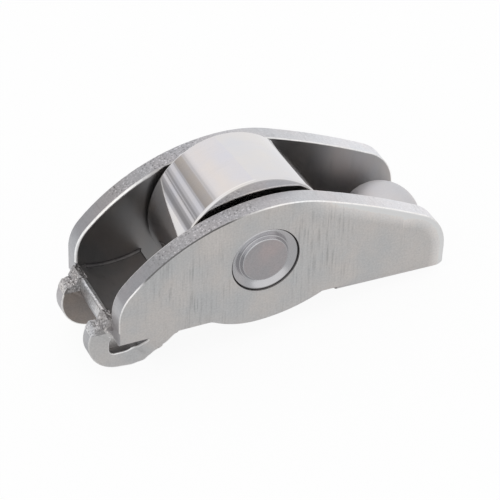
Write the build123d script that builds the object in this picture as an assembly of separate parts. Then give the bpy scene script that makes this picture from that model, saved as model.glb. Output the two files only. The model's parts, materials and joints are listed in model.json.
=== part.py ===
from build123d import *
import math
import os

# A roller finger follower: a pressed sheet-steel rocker arm with a needle-borne roller.
# The arm's own datum is the roller pin's axis: +X runs to the ball socket, -X to the valve,
# +Z is up and the arm is the same on both sides of y = 0. All sizes are in millimetres.

# The pressed sheet and the channel between the two side walls
SHEET = 2.3
BEND_INNER_R = 0.35
BEND_OUTER_R = 1.6
EDGE_BREAK = 0.12

# The side walls' upper outline
CROWN_X = 1.2
CROWN_Z = 7.1
VALVE_SIDE_R = 23.6
CROWN_R = 17.5
CROWN_TURN = 18.8
FLANK_RISE = 0.25
NOSE_R = 5.6
NOSE_Z = -4.2
NOSE_TURN = 30.0
WALL_FRONT_X = -17.42
FRONT_CORNER_R = 5.0
WALL_REAR_X = 22.6
NOSE_CORNER_R = 1.3

# The side walls' lower outline: a cut edge, and a belly round the roller's pin
CUT_EDGE_Z = -6.9
BELLY_X = -0.9
BELLY_Z = -8.35
BELLY_VALVE_R = 10.8
BELLY_SOCKET_R = 19.0
BELLY_BLEND_R = 1.5

# The floor at the socket end, with a bend relief beside the roller's window
FLOOR_TOP_Z = -5.2
WINDOW_REAR_X = 8.4
RELIEF_GAP = 0.9
RELIEF_Z = -6.5
TONGUE_CORNER_R = 2.0

# The ball socket, drawn up out of the floor as a dome with a flared mouth
SOCKET_X = 18.3
SOCKET_RISE = 0.23
SOCKET_R = 3.4
DOME_WALL = 1.35
DOME_FOOT = 0.3
MOUTH_FLARE = 0.75

# The web at the valve end, a shallow arc whose underside is the valve pad
WEB_FRONT_X = -17.7
WEB_REAR_X = -9.4
WEB_END_Z = -5.0
WEB_DIP = 0.75
WEB_EDGE_R = 0.25

# The torn shoulders that join the web's end to the ears
SHOULDER_FRONT_X = -18.35
SHOULDER_REAR_X = -16.6
SHOULDER_TOP_Z = -4.85

# The two guide ears below the web, pushed in from the walls' planes
GUIDE_GAP = 6.4
EAR_SHEET = 1.85
EAR_FRONT_X = -19.98
EAR_FRONT_Z = -8.3
EAR_FRONT_R = 3.85
EAR_HEEL_X = -14.85
EAR_HEEL_R = 1.9
EAR_BOTTOM_Z = -12.3
EAR_TOP_Z = -6.05
TAIL_REAR_X = -10.4
TAIL_FOOT_X = -12.88
TAIL_FOOT_Z = -8.42
TAIL_BLEND_R = 0.6
JOGGLE_ANGLE = 45.0
JOGGLE_START = 14.85
JOGGLE_LENGTH = 2.6
JOGGLE_R = 1.0

# The slot between each ear and the wall above it
SLOT_TIP_X = -13.9
SLOT_FRONT_X = -17.5
SLOT_FRONT_Z = -8.4
SLOT_BOTTOM_Z = -10.1
SLOT_TOP_X = -16.5
SLOT_FOOT_X = -14.6
SLOT_FRONT_R = 0.7
SLOT_FOOT_R = 1.3
SLOT_SKIN = 0.7

# The roller, its needles and the pin that is staked into both walls
PIN_R = 3.95
PIN_SEAT = 0.01
PIN_RECESS = 0.06
FLARE_WIDTH = 0.14
FLARE_DEPTH = 0.45
STAKE_DISC_R = 2.72
STAKE_GROOVE = 0.7
STAKE_DEPTH = 0.5
RUNNING_CLEARANCE = 0.02
NEEDLE_R = 0.8
NEEDLE_GAP = 0.03
NEEDLE_SETBACK = 0.1
ROLLER_R = 8.95
ROLLER_WIDTH = 9.8
ROLLER_SIDE_GAP = 0.55
ROLLER_CHAMFER = 0.3
BORE_CHAMFER = 0.25

# Sizes that follow from those above
CHANNEL_HALF = ROLLER_WIDTH / 2 + ROLLER_SIDE_GAP
HALF_WIDTH = CHANNEL_HALF + SHEET
ARM_WIDTH = 2 * HALF_WIDTH
FLOOR_BOTTOM_Z = FLOOR_TOP_Z - SHEET
EAR_INNER = GUIDE_GAP / 2
EAR_OUTER = EAR_INNER + EAR_SHEET
SOCKET_Z = FLOOR_TOP_Z + SOCKET_RISE
DOME_R = SOCKET_R + DOME_WALL
FLOOR_END_X = SOCKET_X + DOME_R + DOME_FOOT
NEEDLE_PITCH_R = PIN_R + RUNNING_CLEARANCE + NEEDLE_R
ROLLER_BORE_R = NEEDLE_PITCH_R + NEEDLE_R + RUNNING_CLEARANCE
NEEDLE_LENGTH = ROLLER_WIDTH - 2 * NEEDLE_SETBACK
NEEDLE_COUNT = int(math.pi / math.asin((NEEDLE_R + NEEDLE_GAP / 2) / NEEDLE_PITCH_R))
PIN_HALF = HALF_WIDTH - PIN_RECESS
EAR_FRONT_CENTRE = (EAR_FRONT_X + EAR_FRONT_R, EAR_FRONT_Z)
EAR_HEEL_CENTRE = (EAR_HEEL_X, EAR_BOTTOM_Z + EAR_HEEL_R)
REACH = 2 * (FLOOR_END_X - EAR_FRONT_X)


def on_circle(centre, radius, degrees):
    """Point of a circle in the side view, turned clockwise from its top."""
    turn = math.radians(degrees)
    return (centre[0] + radius * math.sin(turn), centre[1] + radius * math.cos(turn))


def arc(centre, radius, start, end):
    """Arc in the side view between two clockwise turns from the circle's top."""
    turns = (start, (start + end) / 2, end)
    return ThreePointArc(*[on_circle(centre, radius, turn) for turn in turns])


def across(face, inner=0.0, outer=ARM_WIDTH):
    """Side-view face made solid on both sides, between two distances from the middle."""
    whole = extrude(Plane.XZ * face, amount=outer, both=True)
    return whole - Box(REACH, 2 * inner, REACH) if inner else whole


def wall_face():
    """Side view of a wall, down to its cut edge and to the floor's underside."""
    crown_centre = (CROWN_X, CROWN_Z - CROWN_R)
    valve_centre = (CROWN_X, CROWN_Z - VALVE_SIDE_R)
    front_turn = -math.degrees(math.asin((CROWN_X - WALL_FRONT_X) / VALVE_SIDE_R))
    valve_arc = arc(valve_centre, VALVE_SIDE_R, front_turn, 0)
    crown_arc = arc(crown_centre, CROWN_R, 0, CROWN_TURN)
    nose_arc = arc((WALL_REAR_X - NOSE_R, NOSE_Z), NOSE_R, NOSE_TURN, 90)
    shoulder, nose_top = crown_arc @ 1, nose_arc @ 0
    flank_side = (nose_top - shoulder).normalized().rotate(Axis.Z, 90)
    flank_arc = ThreePointArc(shoulder, (shoulder + nose_top) / 2 + flank_side * FLANK_RISE, nose_top)

    valve_belly = (BELLY_X, BELLY_Z + BELLY_VALVE_R)
    socket_belly = (BELLY_X, BELLY_Z + BELLY_SOCKET_R)
    valve_turn = math.degrees(math.acos((valve_belly[1] - CUT_EDGE_Z) / BELLY_VALVE_R))
    socket_turn = math.degrees(math.acos((socket_belly[1] - RELIEF_Z) / BELLY_SOCKET_R))
    belly_rear = arc(socket_belly, BELLY_SOCKET_R, 180 - socket_turn, 180)
    belly_front = arc(valve_belly, BELLY_VALVE_R, 180, 180 + valve_turn)
    relief_x = WINDOW_REAR_X + RELIEF_GAP
    rear = Polyline(nose_arc @ 1, (WALL_REAR_X, FLOOR_BOTTOM_Z), (relief_x, FLOOR_BOTTOM_Z),
                    (relief_x, RELIEF_Z), belly_rear @ 0)
    front = Polyline(belly_front @ 1, (WALL_FRONT_X, CUT_EDGE_Z), valve_arc @ 0)
    face = make_face([valve_arc, crown_arc, flank_arc, nose_arc, *rear.edges(),
                      belly_rear, belly_front, *front.edges()])
    face = fillet(nearest(face, (WALL_REAR_X, FLOOR_BOTTOM_Z)), NOSE_CORNER_R)
    room = (valve_arc @ 0).Y - CUT_EDGE_Z - EDGE_BREAK
    widest = room / math.tan(math.radians(90 + front_turn) / 2)
    face = fillet(nearest(face, valve_arc @ 0), min(FRONT_CORNER_R, widest))
    return fillet(nearest(face, belly_front @ 1), BELLY_BLEND_R)


def nearest(face, point):
    """The corner of a face that lies nearest to a point."""
    return face.vertices().sort_by_distance(point)[0]


def walls():
    """The two side walls, with their outer edges broken all round but for the floor's bend."""
    pair = across(wall_face(), CHANNEL_HALF, HALF_WIDTH)
    outer = pair.edges().filter_by(lambda edge: abs(abs(edge.center().Y) - HALF_WIDTH) < 1e-3)
    broken = outer.filter_by(lambda edge: edge.center().Z > RELIEF_Z or edge.center().X < WINDOW_REAR_X)
    return chamfer(broken, EDGE_BREAK) - outside_bend()


def outside_bend():
    """What the rounded outer bend takes off the walls beside the floor."""
    relief_x = WINDOW_REAR_X + RELIEF_GAP
    low = Rectangle(ARM_WIDTH, BEND_OUTER_R, align=(Align.CENTER, Align.MIN))
    rounded = fillet(low.vertices().group_by(Axis.Y)[0], BEND_OUTER_R - 1e-3)
    length = WALL_REAR_X - relief_x
    section = Plane(origin=(relief_x, 0, FLOOR_BOTTOM_Z), x_dir=(0, 1, 0), z_dir=(1, 0, 0))
    return extrude(section * (low - rounded), amount=length)


def floor():
    """The floor between the walls at the socket end, with the inside bends' radius."""
    length = FLOOR_END_X - WINDOW_REAR_X
    plate = Rectangle(length, 2 * CHANNEL_HALF, align=(Align.MIN, Align.CENTER))
    plate = fillet(plate.vertices().group_by(Axis.X)[-1], TONGUE_CORNER_R)
    slab = extrude(Pos(WINDOW_REAR_X, 0, FLOOR_BOTTOM_Z) * plate, amount=SHEET)
    square = Rectangle(BEND_INNER_R, BEND_INNER_R, align=Align.MIN)
    bead = square - Pos(BEND_INNER_R, BEND_INNER_R) * Circle(BEND_INNER_R)
    section = Plane(origin=(WINDOW_REAR_X, -CHANNEL_HALF, FLOOR_TOP_Z), x_dir=(0, 1, 0), z_dir=(1, 0, 0))
    fill = extrude(section * bead, amount=WALL_REAR_X - NOSE_CORNER_R - WINDOW_REAR_X)
    return slab + fill + mirror(fill, about=Plane.XZ)


def dome():
    """The drawn dome over the ball socket, with its rounded foot on the floor."""
    foot_r = DOME_R + DOME_FOOT
    base = Rectangle(2 * foot_r, SHEET, align=(Align.CENTER, Align.MAX))
    face = Pos(0, FLOOR_TOP_Z) * base + Pos(0, SOCKET_Z) * Circle(DOME_R)
    inner_corners = face.vertices().filter_by(lambda corner: abs(abs(corner.X) - DOME_R) < DOME_FOOT / 2)
    foot = inner_corners.filter_by(lambda corner: abs(corner.Y - FLOOR_TOP_Z) < 1e-3)
    face = chamfer(foot, DOME_FOOT / 2)
    face &= Pos(0, FLOOR_BOTTOM_Z) * Rectangle(foot_r, 3 * DOME_R, align=Align.MIN)
    return Pos(SOCKET_X, 0, 0) * revolve(Plane.XZ * face, Axis.Z)


def socket_hollow():
    """The hollow that the pivot's ball enters from below."""
    depth = SOCKET_Z - FLOOR_BOTTOM_Z
    mouth_r = SOCKET_R + MOUTH_FLARE
    profile = make_face([arc((0, depth), SOCKET_R, 0, 90),
                         Line((SOCKET_R, depth), (mouth_r, 0)),
                         Line((mouth_r, 0), (0, 0)), Line((0, 0), (0, depth + SOCKET_R))])
    turned = revolve(Plane.XZ * profile, Axis.Z)
    return Pos(SOCKET_X, 0, FLOOR_BOTTOM_Z) * turned


def web_radius():
    """Radius of the web's upper face, from its length and its dip."""
    half_length = (WEB_REAR_X - WEB_FRONT_X) / 2
    return (half_length**2 + WEB_DIP**2) / (2 * WEB_DIP)


def web():
    """The web between the walls; its underside is crowned for the valve's tip."""
    radius = web_radius()
    centre = ((WEB_FRONT_X + WEB_REAR_X) / 2, WEB_END_Z - WEB_DIP + radius)
    length = WEB_REAR_X - WEB_FRONT_X
    strip = Pos(centre[0], WEB_END_Z) * Rectangle(length, 2 * SHEET + 2 * WEB_DIP)
    face = strip & (Pos(*centre) * (Circle(radius + SHEET) - Circle(radius)))
    ends = face.vertices().group_by(Axis.X)
    return across(fillet([*ends[0], *ends[-1]], WEB_EDGE_R), outer=CHANNEL_HALF)


def shoulders():
    """The torn lumps at the web's end, which slope down to the roots of the ears."""
    outline = Polyline((SHOULDER_REAR_X, WEB_END_Z - WEB_DIP / 2), (WEB_FRONT_X, SHOULDER_TOP_Z),
                       (SHOULDER_FRONT_X, EAR_TOP_Z), (WEB_FRONT_X, WEB_END_Z - SHEET),
                       (SHOULDER_REAR_X, WEB_END_Z - SHEET), close=True)
    return across(make_face(outline.edges()), EAR_INNER, CHANNEL_HALF)


def ear_face():
    """Side view of an ear: a lobe that runs out to the wall's cut edge behind."""
    lobe = make_hull([*(Pos(*EAR_FRONT_CENTRE) * Circle(EAR_FRONT_R)).edges(),
                      *(Pos(*EAR_HEEL_CENTRE) * Circle(EAR_HEEL_R)).edges()])
    high = CUT_EDGE_Z + SHEET / 2
    tail = make_face(Polyline((EAR_FRONT_CENTRE[0], high), (EAR_FRONT_CENTRE[0], EAR_HEEL_CENTRE[1]),
                              (EAR_HEEL_X + EAR_HEEL_R, EAR_HEEL_CENTRE[1]), (TAIL_FOOT_X, TAIL_FOOT_Z),
                              (TAIL_REAR_X, CUT_EDGE_Z), (TAIL_REAR_X, high), close=True).edges())
    tail = fillet(nearest(tail, (TAIL_FOOT_X, TAIL_FOOT_Z)), TAIL_BLEND_R)
    cap = Pos(0, EAR_TOP_Z) * Rectangle(REACH, REACH, align=(Align.CENTER, Align.MIN))
    return lobe + tail - cap


def slot_face():
    """Side view of the slot between an ear and the wall above it."""
    high = CUT_EDGE_Z + SHEET / 4
    outline = Polyline((SLOT_TOP_X, high), (SLOT_FRONT_X, SLOT_FRONT_Z), (SLOT_FRONT_X, SLOT_BOTTOM_Z),
                       (SLOT_FOOT_X, SLOT_BOTTOM_Z), (SLOT_TIP_X, CUT_EDGE_Z), (SLOT_TIP_X, high), close=True)
    face = make_face(outline.edges())
    face = fillet(nearest(face, (SLOT_FRONT_X, SLOT_BOTTOM_Z)), SLOT_FRONT_R)
    return fillet(nearest(face, (SLOT_FOOT_X, SLOT_BOTTOM_Z)), SLOT_FOOT_R)


def joggled_sheet():
    """The ear's sheet: in line with the wall, then bent inwards along a slanting line."""
    start, end = -JOGGLE_START, -JOGGLE_START - JOGGLE_LENGTH
    points = [(0, HALF_WIDTH), (start, HALF_WIDTH), (end, EAR_OUTER), (-REACH, EAR_OUTER),
              (-REACH, EAR_INNER), (end, EAR_INNER), (start, CHANNEL_HALF), (0, CHANNEL_HALF)]
    section = make_face(Polyline(*points, close=True).edges())
    bends = [nearest(section, points[index]) for index in (1, 2, 5, 6)]
    section = fillet(bends, JOGGLE_R)
    slant = math.radians(JOGGLE_ANGLE)
    plane = Plane(origin=(0, 0, 0), x_dir=(math.cos(slant), 0, math.sin(slant)),
                  z_dir=(math.sin(slant), 0, -math.cos(slant)))
    return extrude(plane * section, amount=REACH / 2, both=True)


def ears():
    """Both guide ears with their slots, cut from the joggled sheet."""
    ear = joggled_sheet() & across(ear_face())
    ear -= across(slot_face(), EAR_INNER + SLOT_SKIN)
    return ear + mirror(ear, about=Plane.XZ)


def pin_profile():
    """Half of the pin's section, as radius against length, with its staked end."""
    flare_r = PIN_R + FLARE_WIDTH
    groove_middle = STAKE_DISC_R + STAKE_GROOVE / 2
    return make_face(Polyline((0, 0), (PIN_R, 0), (PIN_R, PIN_HALF - FLARE_DEPTH),
                              (flare_r, PIN_HALF), (STAKE_DISC_R + STAKE_GROOVE, PIN_HALF),
                              (groove_middle + STAKE_GROOVE / 6, PIN_HALF - STAKE_DEPTH),
                              (groove_middle - STAKE_GROOVE / 6, PIN_HALF - STAKE_DEPTH),
                              (STAKE_DISC_R, PIN_HALF), (0, PIN_HALF), close=True).edges())


def turned_about_pin(profile):
    """Both halves of a piece that is turned about the pin's axis."""
    upright = revolve(Plane.XZ * profile, Axis.Z)
    half = Rot(90, 0, 0) * upright
    return half + mirror(half, about=Plane.XZ)


def pin_holes():
    """The holes of both walls, with the chamfers that the pin's ends are staked into."""
    seat_r = PIN_R + PIN_SEAT
    flare_start = PIN_HALF - FLARE_DEPTH
    outer = HALF_WIDTH + PIN_RECESS
    outer_r = seat_r + FLARE_WIDTH * (outer - flare_start) / FLARE_DEPTH
    profile = make_face(Polyline((0, 0), (seat_r, 0), (seat_r, flare_start), (outer_r, outer),
                                 (0, outer), close=True).edges())
    return turned_about_pin(profile)


def roller_profile():
    """Half of the outer ring's section, as radius against length."""
    half = ROLLER_WIDTH / 2
    face = Pos(ROLLER_BORE_R, 0) * Rectangle(ROLLER_R - ROLLER_BORE_R, half, align=Align.MIN)
    face = chamfer(nearest(face, (ROLLER_R, half)), ROLLER_CHAMFER)
    return chamfer(nearest(face, (ROLLER_BORE_R, half)), BORE_CHAMFER)


def needle(index):
    """One needle in its place round the pin."""
    body = Rot(90, 0, 0) * Cylinder(NEEDLE_R, NEEDLE_LENGTH)
    place = on_circle((0, 0), NEEDLE_PITCH_R, 360 * index / NEEDLE_COUNT)
    return Pos(place[0], 0, place[1]) * body


def build_arm():
    """The pressed arm: walls, floor with dome, web and guide ears in one solid."""
    body = walls() + floor() + dome() + web() + shoulders() + ears()
    return body - socket_hollow() - pin_holes()


def stance():
    """Turn that lays the arm on its ears' lobes and on the end of its floor."""
    heel = (FLOOR_END_X, FLOOR_BOTTOM_Z)
    run, rise = heel[0] - EAR_HEEL_CENTRE[0], heel[1] - EAR_HEEL_CENTRE[1]
    slope = math.atan2(rise, run) + math.asin(EAR_HEEL_R / math.hypot(run, rise))
    return Rot(0, math.degrees(slope), 0)


def build():
    """Every piece, laid as it rests, with the origin below its middle on the ground."""
    pieces = {"arm": build_arm(), "axle_pin": turned_about_pin(pin_profile()),
              "roller": turned_about_pin(roller_profile())}
    for index in range(NEEDLE_COUNT):
        pieces[f"needle_{index + 1:02d}"] = needle(index)
    laid = {name: stance() * piece for name, piece in pieces.items()}
    box = laid["arm"].bounding_box().add(laid["roller"].bounding_box())
    ground = Pos(-(box.min.X + box.max.X) / 2, 0, -box.min.Z)
    return {name: ground * piece for name, piece in laid.items()}, ground * stance()


def main():
    """Writes one file per piece and prints where the joint and the interfaces lie."""
    os.makedirs("parts", exist_ok=True)
    pieces, place = build()
    for name, piece in pieces.items():
        export_step(piece, f"parts/{name}.step")
    middle = (WEB_FRONT_X + WEB_REAR_X) / 2
    for name, point in {"pin axis": (0, 0, 0), "socket centre": (SOCKET_X, 0, SOCKET_Z),
                        "valve pad": (middle, 0, WEB_END_Z - WEB_DIP - SHEET),
                        "roller top": (0, 0, ROLLER_R)}.items():
        print(name, (place * Pos(*point)).position)


if __name__ == "__main__":
    main()
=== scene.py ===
"""Looks for the roller finger follower: a pressed steel arm with a needle-borne cam roller.

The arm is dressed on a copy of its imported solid, and the pin, the roller and the needles are
turned again at their packed sizes. The arm's own datum is the pin's axis, with x towards the
ball socket and z up, and the resting arm is turned a little out of it. Sizes in the classes are
millimetres of that datum unless they say otherwise.
"""
from __future__ import annotations

import json
import logging
import math
from collections.abc import Callable
from dataclasses import dataclass
from enum import Enum, IntEnum

import bmesh
import bpy
from mathutils import Euler, Matrix, Vector, noise

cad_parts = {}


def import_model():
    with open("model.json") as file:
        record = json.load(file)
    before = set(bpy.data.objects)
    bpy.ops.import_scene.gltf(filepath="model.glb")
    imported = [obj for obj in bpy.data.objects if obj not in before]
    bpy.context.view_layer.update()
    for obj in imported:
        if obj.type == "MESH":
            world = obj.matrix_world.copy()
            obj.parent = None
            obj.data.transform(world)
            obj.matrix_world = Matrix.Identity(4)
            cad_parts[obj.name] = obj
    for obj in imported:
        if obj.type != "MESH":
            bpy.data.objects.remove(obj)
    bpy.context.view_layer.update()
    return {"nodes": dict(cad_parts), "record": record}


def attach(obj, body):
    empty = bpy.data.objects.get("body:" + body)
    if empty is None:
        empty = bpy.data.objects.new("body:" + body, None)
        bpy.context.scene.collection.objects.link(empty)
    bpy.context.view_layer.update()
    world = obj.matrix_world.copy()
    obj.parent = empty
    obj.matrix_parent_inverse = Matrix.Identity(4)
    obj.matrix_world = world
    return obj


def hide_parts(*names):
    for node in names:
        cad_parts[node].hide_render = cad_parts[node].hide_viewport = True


LOG = logging.getLogger("follower")
MM = 0.001
WHITE = (1.0, 1.0, 1.0, 1.0)
# Metal reflects no more than this share of the light.
BRIGHTEST = 0.97
# Waves per millimetre of the broad patches in the tone, and of the gloss.
PATCHES_PER_MM = 0.22
GLOSS_PER_MM = 0.9
# Corners nearer than this many metres are one, and a cut's plane is this exact.
WELD = 1e-6
CUT_TOLERANCE = 1e-7
# Points of an outline nearer to the axis than this many millimetres lie on it.
ON_AXIS = 1e-6
# Material number of the faces that have no finish yet.
UNDRESSED = 30

Colour = tuple[float, float, float]
Stops = tuple[tuple[float, float], ...]
Outline = list[tuple[float, float]]
Socket = bpy.types.NodeSocket
Skin = bmesh.types.BMesh


class Body(Enum):
    """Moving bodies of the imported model."""

    ROCKER = "rocker"
    ROLLER = "roller"
    NEEDLES = "needle_complement"


class Slot(Enum):
    """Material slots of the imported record."""

    SHEET = "pressed_steel"
    PIN = "pin_steel"
    ROLLER = "roller_steel"
    NEEDLE = "needle_steel"


class Zone(IntEnum):
    """Kinds of surface on the pressed arm, in the order of its materials."""

    WALL = 0
    SHEARED = 1
    CHANNEL = 2
    EAR_INSIDE = 3
    TORN = 4
    DOME = 5
    OUTER_EDGE = 6
    INNER_EDGE = 7
    FILLET = 8
    WEB_END = 9


@dataclass(frozen=True)
class Datum:
    """Place of the arm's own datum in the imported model's frame.

    Attributes:
        centre: Middle of the pin's axis, in metres.
        tilt: Turn about y from the arm's own datum, in radians.
    """

    centre: Vector
    tilt: float

    @classmethod
    def from_record(cls, record: dict) -> Datum:
        """Read the pin's axis and the arm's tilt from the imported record.

        Args:
            record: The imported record.

        Returns:
            The datum.
        """
        joint = next(row for row in record["behaviour"]["joints"] if row["name"] == "roller_spin")
        upright = next(row for row in record["mounts"] if row["name"] == "cam_roller")["axis"]
        return cls(Vector(joint["pos_m"]), math.atan2(upright[0], upright[2]))

    def matrix(self) -> Matrix:
        """Return the transform from the arm's datum, in metres, to the frame."""
        return Matrix.Translation(self.centre) @ Matrix.Rotation(self.tilt, 4, "Y")

    def local(self, point: Vector) -> Vector:
        """Return a frame point in millimetres of the arm's own datum."""
        return (self.matrix().inverted() @ point) / MM

    def local_direction(self, direction: Vector) -> Vector:
        """Return a frame direction in the arm's own datum."""
        return self.matrix().to_3x3().inverted() @ direction


@dataclass
class NodeTree:
    """A node tree, with short calls to add and join its nodes."""

    tree: bpy.types.NodeTree

    def add(self, kind: str, inputs: dict | None = None, **settings: object) -> bpy.types.Node:
        """Add a node, set its properties and fill or link its inputs.

        Args:
            kind: Node type; a shader node's is written without its ShaderNode prefix.
            inputs: Values or sockets by input name or number.
            settings: Properties of the node.

        Returns:
            The new node.
        """
        node = self.tree.nodes.new(kind if "Node" in kind else f"ShaderNode{kind}")
        for key, value in settings.items():
            setattr(node, key, value)
        for key, value in (inputs or {}).items():
            if isinstance(value, Socket):
                self.tree.links.new(value, node.inputs[key])
            else:
                node.inputs[key].default_value = value
        return node

    def math(self, operation: str, *values: float | Socket) -> Socket:
        """Return the result of a Math node on numbers or sockets."""
        return self.add("Math", dict(enumerate(values)), operation=operation).outputs[0]


class Shader(NodeTree):
    """A material's node tree, with the patterns that the finishes share."""

    def __init__(self, name: str) -> None:
        """Start an empty tree under the material's name."""
        self.material = bpy.data.materials.new(name)
        self.material.use_nodes = True
        super().__init__(self.material.node_tree)
        self.tree.nodes.clear()

    def place(self, datum: Datum) -> Socket:
        """Return the surface's place in millimetres of the arm's datum."""
        turn = Matrix.Rotation(-datum.tilt, 3, "Y")
        mapped = self.add("Mapping", {"Vector": self.add("TexCoord").outputs["Object"],
                                      "Location": -(turn @ datum.centre) / MM,
                                      "Rotation": (0.0, -datum.tilt, 0.0), "Scale": (1 / MM,) * 3})
        return mapped.outputs[0]

    def ramp(self, factor: Socket, stops: Stops) -> Socket:
        """Return a value that follows a factor through stops, straight between them.

        Args:
            factor: Socket that drives the ramp.
            stops: Pairs of the factor and the value there.

        Returns:
            The value's socket.
        """
        first, last = stops[0][0], stops[-1][0]
        share = self.add("MapRange", {"Value": factor, "From Min": first, "From Max": last})
        node = self.add("ValToRGB", {"Fac": share.outputs[0]})
        elements = node.color_ramp.elements
        while len(elements) < len(stops):
            elements.new(0.5)
        for element, (position, value) in zip(elements, stops):
            element.position = (position - first) / (last - first)
            element.color = (value, value, value, 1.0)
        return self.add("SeparateColor", {0: node.outputs["Color"]}).outputs[0]

    def noise(self, place: Socket, per_mm: float, detail: float = 3.0,
              stretch: Colour = (1.0, 1.0, 1.0)) -> Socket:
        """Return noise about zero, from -0.5 to 0.5, on a stretched place.

        Args:
            place: Socket with the place, in millimetres.
            per_mm: Waves per millimetre.
            detail: Octaves of the noise.
            stretch: Scale along each axis.

        Returns:
            The noise's socket.
        """
        mapped = self.add("Mapping", {"Vector": place, "Scale": stretch})
        node = self.add("TexNoise", {"Vector": mapped.outputs[0], "Scale": per_mm, "Detail": detail})
        return self.math("SUBTRACT", node.outputs["Fac"], 0.5)


@dataclass(frozen=True)
class ToolLines:
    """Fine straight lines in the surface, stronger in some patches than in others.

    Attributes:
        per_mm: Lines per millimetre across their run.
        stretch: Scale of the pattern along x, y and z; a small value is the lines' run.
        depth: Share of the lines in the tone.
        along: Their strength along x, as pairs of x in millimetres and strength.
    """

    per_mm: float
    stretch: Colour
    depth: float
    along: Stops = ((-20.0, 1.0), (24.0, 1.0))

    def height(self, shader: Shader, place: Socket, x: Socket) -> Socket:
        """Return the lines' relief, with the mean level at about zero.

        Args:
            shader: Material that the nodes go into.
            place: Socket with the place, in millimetres.
            x: Socket with the place along x.

        Returns:
            The relief's socket.
        """
        wave = shader.noise(place, self.per_mm, 2.0, self.stretch)
        fine = shader.math("SUBTRACT", shader.ramp(wave, ((-0.2, 0.0), (-0.04, 0.75), (0.2, 1.0))), 0.78)
        broad = shader.noise(place, 0.3, 2.0, (1.0, 1.0, 0.6))
        patches = shader.ramp(broad, ((-0.12, 0.25), (0.1, 1.0)))
        strength = shader.math("MULTIPLY", patches, shader.ramp(x, self.along))
        return shader.math("MULTIPLY", shader.math("MULTIPLY", fine, strength), self.depth)


@dataclass(frozen=True)
class Specks:
    """Small torn spots, some bright and some dark, in stretches of the arm.

    Attributes:
        per_mm: Spots per millimetre.
        bright: Rise of the tone in the bright ones.
        dark: Fall of the tone in the dark ones.
        along: Their strength along x, as pairs of x in millimetres and strength.
    """

    per_mm: float
    bright: float
    dark: float
    along: Stops = ((-20.0, 1.0), (24.0, 1.0))

    def tone(self, shader: Shader, place: Socket, x: Socket) -> Socket:
        """Return the specks' share in the tone.

        Args:
            shader: Material that the nodes go into.
            place: Socket with the place, in millimetres.
            x: Socket with the place along x.

        Returns:
            The share's socket.
        """
        spots = shader.noise(place, self.per_mm, 3.0)
        rise = shader.math("MULTIPLY", shader.ramp(spots, ((0.08, 0.0), (0.16, 1.0))), self.bright)
        fall = shader.math("MULTIPLY", shader.ramp(spots, ((-0.16, 1.0), (-0.08, 0.0))), self.dark)
        return shader.math("MULTIPLY", shader.math("SUBTRACT", rise, fall), shader.ramp(x, self.along))


@dataclass(frozen=True)
class PaintedRimHighlight:
    """Painted highlight along the wall's flank and round its nose, where a rounded-over rim would catch the
    light.

    Attributes:
        flank: Start of the flank, in the arm's datum.
        slope: Fall of the flank, in degrees.
        nose: Centre of the nose's arc.
        nose_radius: Radius of that arc.
        width: Width of the rim.
        fade: The rim's strength by the depth below the edge, as a share of the width.
        rise: Rise of the tone at the very edge.
        along: Its strength along x, as pairs of x in millimetres and strength.
    """

    flank: tuple[float, float] = (6.84, 6.17)
    slope: float = 23.07
    nose: tuple[float, float] = (17.0, -4.2)
    nose_radius: float = 5.6
    width: float = 1.9
    fade: Stops = ((0.0, 1.0), (0.35, 0.5), (1.0, 0.0))
    rise: float = 0.75
    along: Stops = ((3.0, 0.0), (9.0, 0.7), (16.0, 1.0), (24.0, 1.0))

    def tone(self, shader: Shader, place: Socket, x: Socket) -> Socket:
        """Return the painted highlight's share in the tone.

        Args:
            shader: Material that the nodes go into.
            place: Socket with the place, in millimetres.
            x: Socket with the place along x.

        Returns:
            The share's socket.
        """
        z = shader.add("SeparateXYZ", {0: place}).outputs["Z"]
        turn = math.radians(self.slope)
        level = self.flank[0] * math.sin(turn) + self.flank[1] * math.cos(turn)
        lean = shader.math("MULTIPLY_ADD", x, -math.sin(turn), level)
        below_flank = shader.math("MULTIPLY_ADD", z, -math.cos(turn), lean)
        ahead = shader.math("MAXIMUM", shader.math("SUBTRACT", x, self.nose[0]), 0.0)
        above = shader.math("MAXIMUM", shader.math("SUBTRACT", z, self.nose[1]), 0.0)
        reach = shader.math("SQRT", shader.math("ADD", shader.math("MULTIPLY", ahead, ahead),
                                                shader.math("MULTIPLY", above, above)))
        inside_nose = shader.math("SUBTRACT", self.nose_radius, reach)
        before_nose = shader.math("LESS_THAN", x, self.nose[0])
        clear_of_nose = shader.math("MULTIPLY_ADD", before_nose, 2 * self.nose_radius, inside_nose)
        depth = shader.math("MINIMUM", below_flank, clear_of_nose)
        edge = shader.ramp(depth, tuple((share * self.width, strength) for share, strength in self.fade))
        share = shader.math("MULTIPLY", edge, shader.ramp(x, self.along))
        return shader.math("MULTIPLY", share, self.rise)


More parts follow.
